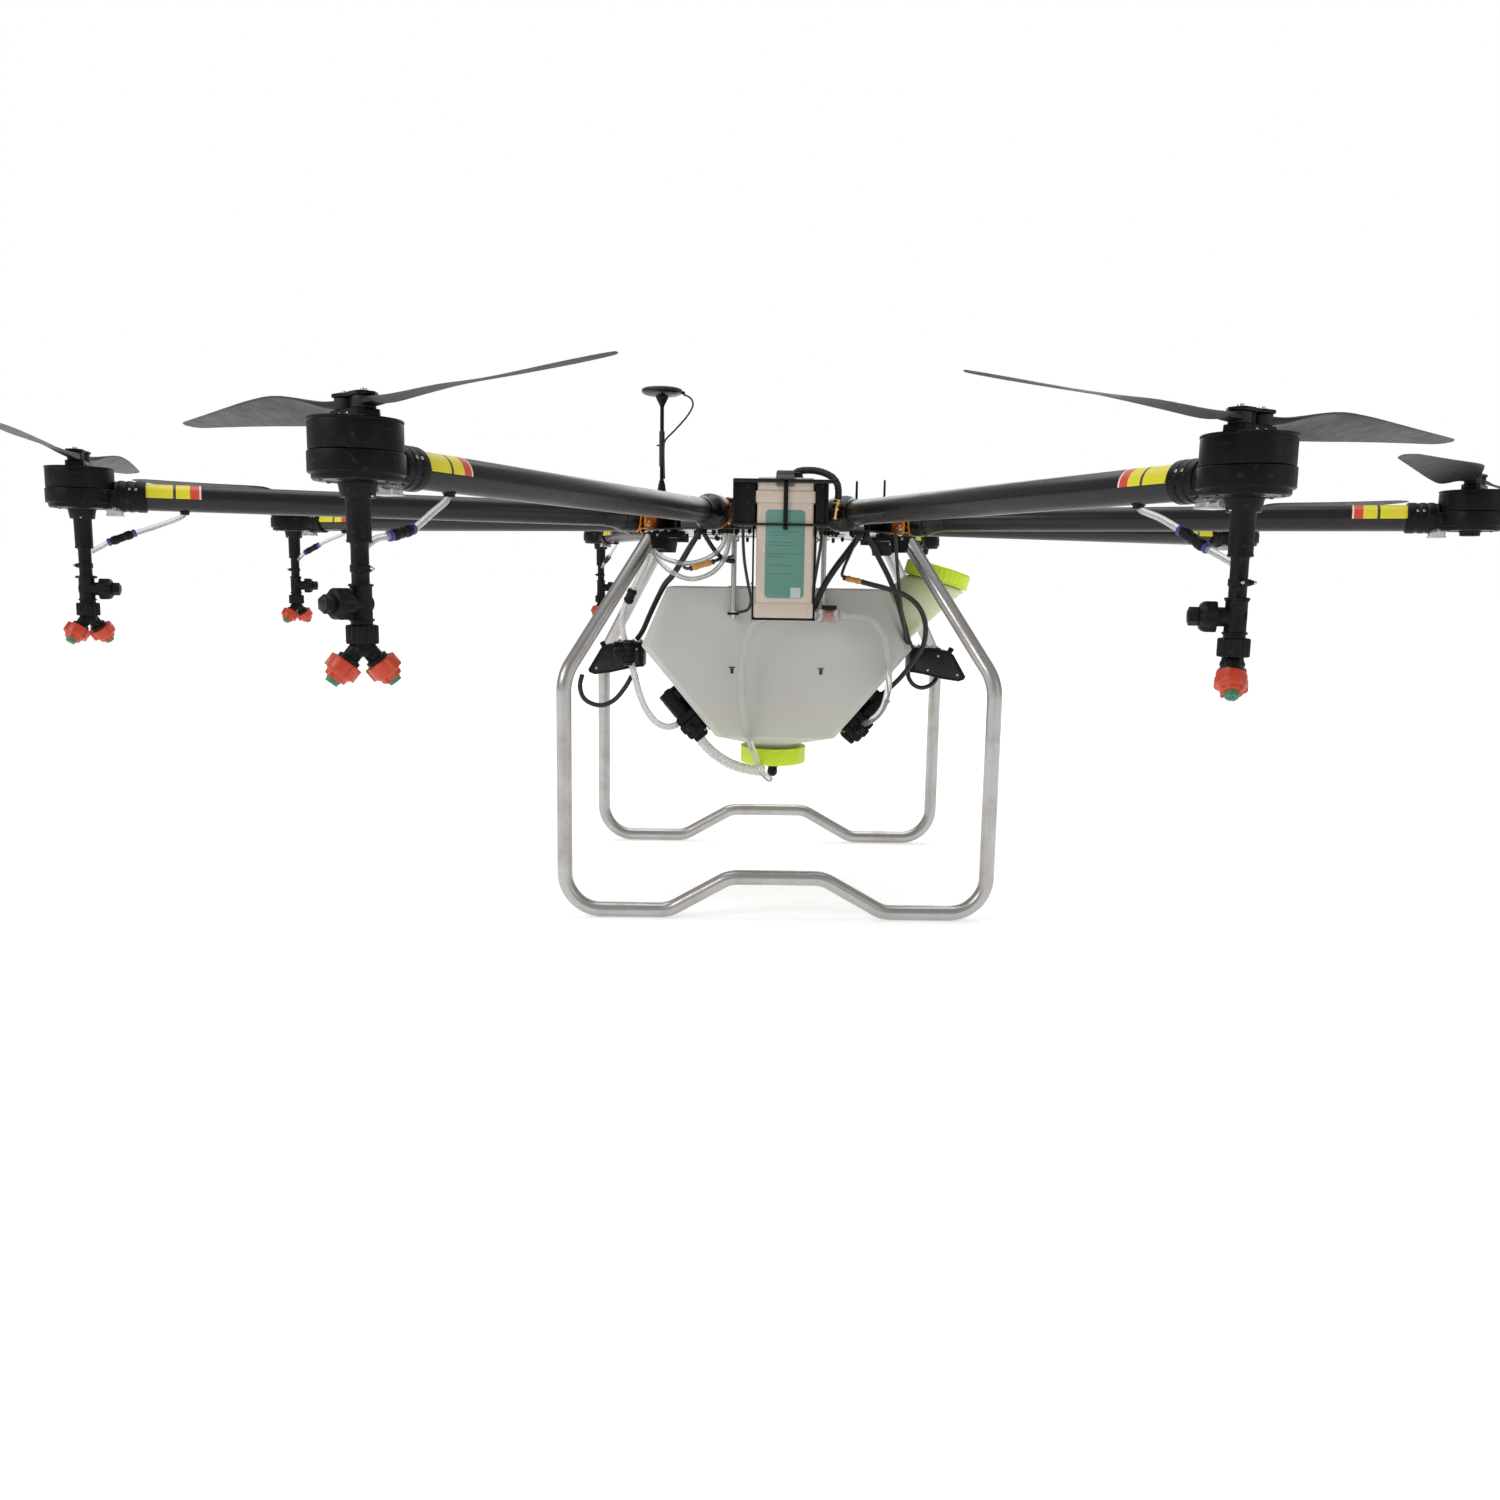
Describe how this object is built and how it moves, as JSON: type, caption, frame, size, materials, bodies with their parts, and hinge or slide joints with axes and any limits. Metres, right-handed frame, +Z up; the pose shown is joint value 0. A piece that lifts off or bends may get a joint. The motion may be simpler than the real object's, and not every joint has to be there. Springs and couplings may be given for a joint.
{
  "type": "agricultural spray drone",
  "caption": "Folding multi-rotor spray drone with a hanging tank, drop nozzles, hoop landing gear, front battery and satellite mast.",
  "frame": {"origin": "on the ground, under the middle of the bounding box", "axes": "+Z up, -Y towards the battery side, +X towards the filler cap"},
  "size_m": [2.5416, 2.4327, 0.9114],
  "materials": {
    "carbon_tube": "woven carbon fibre tube, satin",
    "carbon_plate": "gloss woven carbon plate with orange anodised hinge yokes",
    "black_plastic": "moulded, fine texture",
    "motor_metal": "black anodised",
    "blade_composite": "satin composite",
    "gear_aluminium": "satin anodised tube",
    "tank_plastic": "translucent white polyethylene",
    "lime_plastic": "moulded screw cap",
    "battery_case": "cream case with teal label",
    "nozzle_plastic": "black fittings with orange caps"
  },
  "bodies": {
    "frame": {"hub_lower_plate": "carbon_plate", "hub_upper_plate": "carbon_plate", "battery_holder": "black_plastic", "landing_gear_front": "gear_aluminium", "landing_gear_rear": "gear_aluminium", "spray_tank": "tank_plastic", "pump_left": "black_plastic", "pump_right": "black_plastic", "side_unit_left": "black_plastic", "side_unit_right": "black_plastic", "drain_cap": "lime_plastic"},
    "arm_1": {"arm_tube_1": "carbon_tube", "motor_housing_1": "black_plastic", "nozzle_1": "nozzle_plastic"},
    "rotor_1": {"rotor_1": "motor_metal"},
    "blade_1a": {"blade_1a": "blade_composite"},
    "blade_1b": {"blade_1b": "blade_composite"},
    "arm_2": {"arm_tube_2": "carbon_tube", "motor_housing_2": "black_plastic", "nozzle_2": "nozzle_plastic"},
    "rotor_2": {"rotor_2": "motor_metal"},
    "blade_2a": {"blade_2a": "blade_composite"},
    "blade_2b": {"blade_2b": "blade_composite"},
    "arm_3": {"arm_tube_3": "carbon_tube", "motor_housing_3": "black_plastic", "nozzle_3": "nozzle_plastic"},
    "rotor_3": {"rotor_3": "motor_metal"},
    "blade_3a": {"blade_3a": "blade_composite"},
    "blade_3b": {"blade_3b": "blade_composite"},
    "arm_4": {"arm_tube_4": "carbon_tube", "motor_housing_4": "black_plastic", "nozzle_4": "nozzle_plastic"},
    "rotor_4": {"rotor_4": "motor_metal"},
    "blade_4a": {"blade_4a": "blade_composite"},
    "blade_4b": {"blade_4b": "blade_composite"},
    "arm_5": {"arm_tube_5": "carbon_tube", "motor_housing_5": "black_plastic", "nozzle_5": "nozzle_plastic"},
    "rotor_5": {"rotor_5": "motor_metal"},
    "blade_5a": {"blade_5a": "blade_composite"},
    "blade_5b": {"blade_5b": "blade_composite"},
    "arm_6": {"arm_tube_6": "carbon_tube", "motor_housing_6": "black_plastic"},
    "rotor_6": {"rotor_6": "motor_metal"},
    "blade_6a": {"blade_6a": "blade_composite"},
    "blade_6b": {"blade_6b": "blade_composite"},
    "arm_7": {"arm_tube_7": "carbon_tube", "motor_housing_7": "black_plastic"},
    "rotor_7": {"rotor_7": "motor_metal"},
    "blade_7a": {"blade_7a": "blade_composite"},
    "blade_7b": {"blade_7b": "blade_composite"},
    "arm_8": {"arm_tube_8": "carbon_tube", "motor_housing_8": "black_plastic", "nozzle_8": "nozzle_plastic"},
    "rotor_8": {"rotor_8": "motor_metal"},
    "blade_8a": {"blade_8a": "blade_composite"},
    "blade_8b": {"blade_8b": "blade_composite"},
    "battery": {"battery": "battery_case"},
    "gps": {"gps_mast": "black_plastic"},
    "filler_cap": {"filler_cap": "lime_plastic"}
  },
  "joints": [
    {"name": "arm_fold_1", "type": "hinge", "parent": "frame", "child": "arm_1", "pos_m": [-0.27043, -0.00635, 0.661], "axis": [0.3762, -0.9265, 0], "range_deg": [0, 30]},
    {"name": "arm_fold_2", "type": "hinge", "parent": "frame", "child": "arm_2", "pos_m": [-0.27043, 0.17875, 0.661], "axis": [-0.3762, -0.9265, 0], "range_deg": [0, 30]},
    {"name": "arm_fold_3", "type": "hinge", "parent": "frame", "child": "arm_3", "pos_m": [-0.13822, -0.14041, 0.661], "axis": [0.9212, -0.3891, 0], "range_deg": [0, 30]},
    {"name": "arm_fold_4", "type": "hinge", "parent": "frame", "child": "arm_4", "pos_m": [-0.13822, 0.31281, 0.661], "axis": [-0.9212, -0.3891, 0], "range_deg": [0, 30]},
    {"name": "arm_fold_5", "type": "hinge", "parent": "frame", "child": "arm_5", "pos_m": [0.05322, -0.14041, 0.661], "axis": [0.9212, 0.3891, 0], "range_deg": [0, 30]},
    {"name": "arm_fold_6", "type": "hinge", "parent": "frame", "child": "arm_6", "pos_m": [0.18543, -0.00635, 0.661], "axis": [0.3762, 0.9265, 0], "range_deg": [0, 30]},
    {"name": "arm_fold_7", "type": "hinge", "parent": "frame", "child": "arm_7", "pos_m": [0.18543, 0.17875, 0.661], "axis": [-0.3762, 0.9265, 0], "range_deg": [0, 30]},
    {"name": "arm_fold_8", "type": "hinge", "parent": "frame", "child": "arm_8", "pos_m": [0.05322, 0.31281, 0.661], "axis": [-0.9212, 0.3891, 0], "range_deg": [0, 30]},
    {"name": "battery_lift", "type": "slide", "parent": "frame", "child": "battery", "axis": [0, 0, 1], "range_m": [0, 0.24]},
    {"name": "gps_fold", "type": "hinge", "parent": "frame", "child": "gps", "pos_m": [-0.2435, 0.0902, 0.74125], "axis": [0, 1, 0], "range_deg": [0, 85]},
    {"name": "filler_cap_off", "type": "slide", "parent": "frame", "child": "filler_cap", "axis": [0.2756, 0, 0.9613], "range_m": [0, 0.06]},
    {"name": "rotor_spin_1", "type": "hinge", "parent": "arm_1", "child": "rotor_1", "pos_m": [-1.08762, -0.33818, 0.731], "axis": [0, 0, 1], "continuous": true},
    {"name": "rotor_spin_2", "type": "hinge", "parent": "arm_2", "child": "rotor_2", "pos_m": [-1.08762, 0.51058, 0.731], "axis": [0, 0, 1], "continuous": true},
    {"name": "rotor_spin_3", "type": "hinge", "parent": "arm_3", "child": "rotor_3", "pos_m": [-0.48143, -0.9529, 0.731], "axis": [0, 0, 1], "continuous": true},
    {"name": "rotor_spin_4", "type": "hinge", "parent": "arm_4", "child": "rotor_4", "pos_m": [-0.48143, 1.1253, 0.731], "axis": [0, 0, 1], "continuous": true},
    {"name": "rotor_spin_5", "type": "hinge", "parent": "arm_5", "child": "rotor_5", "pos_m": [0.39643, -0.9529, 0.731], "axis": [0, 0, 1], "continuous": true},
    {"name": "rotor_spin_6", "type": "hinge", "parent": "arm_6", "child": "rotor_6", "pos_m": [1.00262, -0.33818, 0.731], "axis": [0, 0, 1], "continuous": true},
    {"name": "rotor_spin_7", "type": "hinge", "parent": "arm_7", "child": "rotor_7", "pos_m": [1.00262, 0.51058, 0.731], "axis": [0, 0, 1], "continuous": true},
    {"name": "rotor_spin_8", "type": "hinge", "parent": "arm_8", "child": "rotor_8", "pos_m": [0.39643, 1.1253, 0.731], "axis": [0, 0, 1], "continuous": true},
    {"name": "blade_fold_1a", "type": "hinge", "parent": "rotor_1", "child": "blade_1a", "pos_m": [-1.09202, -0.32176, 0.731], "axis": [0, 0, 1], "range_deg": [-80, 80]},
    {"name": "blade_fold_1b", "type": "hinge", "parent": "rotor_1", "child": "blade_1b", "pos_m": [-1.08322, -0.3546, 0.731], "axis": [0, 0, 1], "range_deg": [-80, 80]},
    {"name": "blade_fold_2a", "type": "hinge", "parent": "rotor_2", "child": "blade_2a", "pos_m": [-1.07991, 0.52573, 0.731], "axis": [0, 0, 1], "range_deg": [-80, 80]},
    {"name": "blade_fold_2b", "type": "hinge", "parent": "rotor_2", "child": "blade_2b", "pos_m": [-1.09534, 0.49543, 0.731], "axis": [0, 0, 1], "range_deg": [-80, 80]},
    {"name": "blade_fold_3a", "type": "hinge", "parent": "rotor_3", "child": "blade_3a", "pos_m": [-0.49406, -0.94152, 0.731], "axis": [0, 0, 1], "range_deg": [-80, 80]},
    {"name": "blade_fold_3b", "type": "hinge", "parent": "rotor_3", "child": "blade_3b", "pos_m": [-0.4688, -0.96427, 0.731], "axis": [0, 0, 1], "range_deg": [-80, 80]},
    {"name": "blade_fold_4a", "type": "hinge", "parent": "rotor_4", "child": "blade_4a", "pos_m": [-0.4648, 1.12883, 0.731], "axis": [0, 0, 1], "range_deg": [-80, 80]},
    {"name": "blade_fold_4b", "type": "hinge", "parent": "rotor_4", "child": "blade_4b", "pos_m": [-0.49806, 1.12176, 0.731], "axis": [0, 0, 1], "range_deg": [-80, 80]},
    {"name": "blade_fold_5a", "type": "hinge", "parent": "rotor_5", "child": "blade_5a", "pos_m": [0.41085, -0.94389, 0.731], "axis": [0, 0, 1], "range_deg": [-80, 80]},
    {"name": "blade_fold_5b", "type": "hinge", "parent": "rotor_5", "child": "blade_5b", "pos_m": [0.38201, -0.96191, 0.731], "axis": [0, 0, 1], "range_deg": [-80, 80]},
    {"name": "blade_fold_6a", "type": "hinge", "parent": "rotor_6", "child": "blade_6a", "pos_m": [1.01422, -0.32575, 0.731], "axis": [0, 0, 1], "range_deg": [-80, 80]},
    {"name": "blade_fold_6b", "type": "hinge", "parent": "rotor_6", "child": "blade_6b", "pos_m": [0.99103, -0.35061, 0.731], "axis": [0, 0, 1], "range_deg": [-80, 80]},
    {"name": "blade_fold_7a", "type": "hinge", "parent": "rotor_7", "child": "blade_7a", "pos_m": [0.99425, 0.52538, 0.731], "axis": [0, 0, 1], "range_deg": [-80, 80]},
    {"name": "blade_fold_7b", "type": "hinge", "parent": "rotor_7", "child": "blade_7b", "pos_m": [1.011, 0.49578, 0.731], "axis": [0, 0, 1], "range_deg": [-80, 80]},
    {"name": "blade_fold_8a", "type": "hinge", "parent": "rotor_8", "child": "blade_8a", "pos_m": [0.37969, 1.12825, 0.731], "axis": [0, 0, 1], "range_deg": [-80, 80]},
    {"name": "blade_fold_8b", "type": "hinge", "parent": "rotor_8", "child": "blade_8b", "pos_m": [0.41317, 1.12234, 0.731], "axis": [0, 0, 1], "range_deg": [-80, 80]}
  ]
}
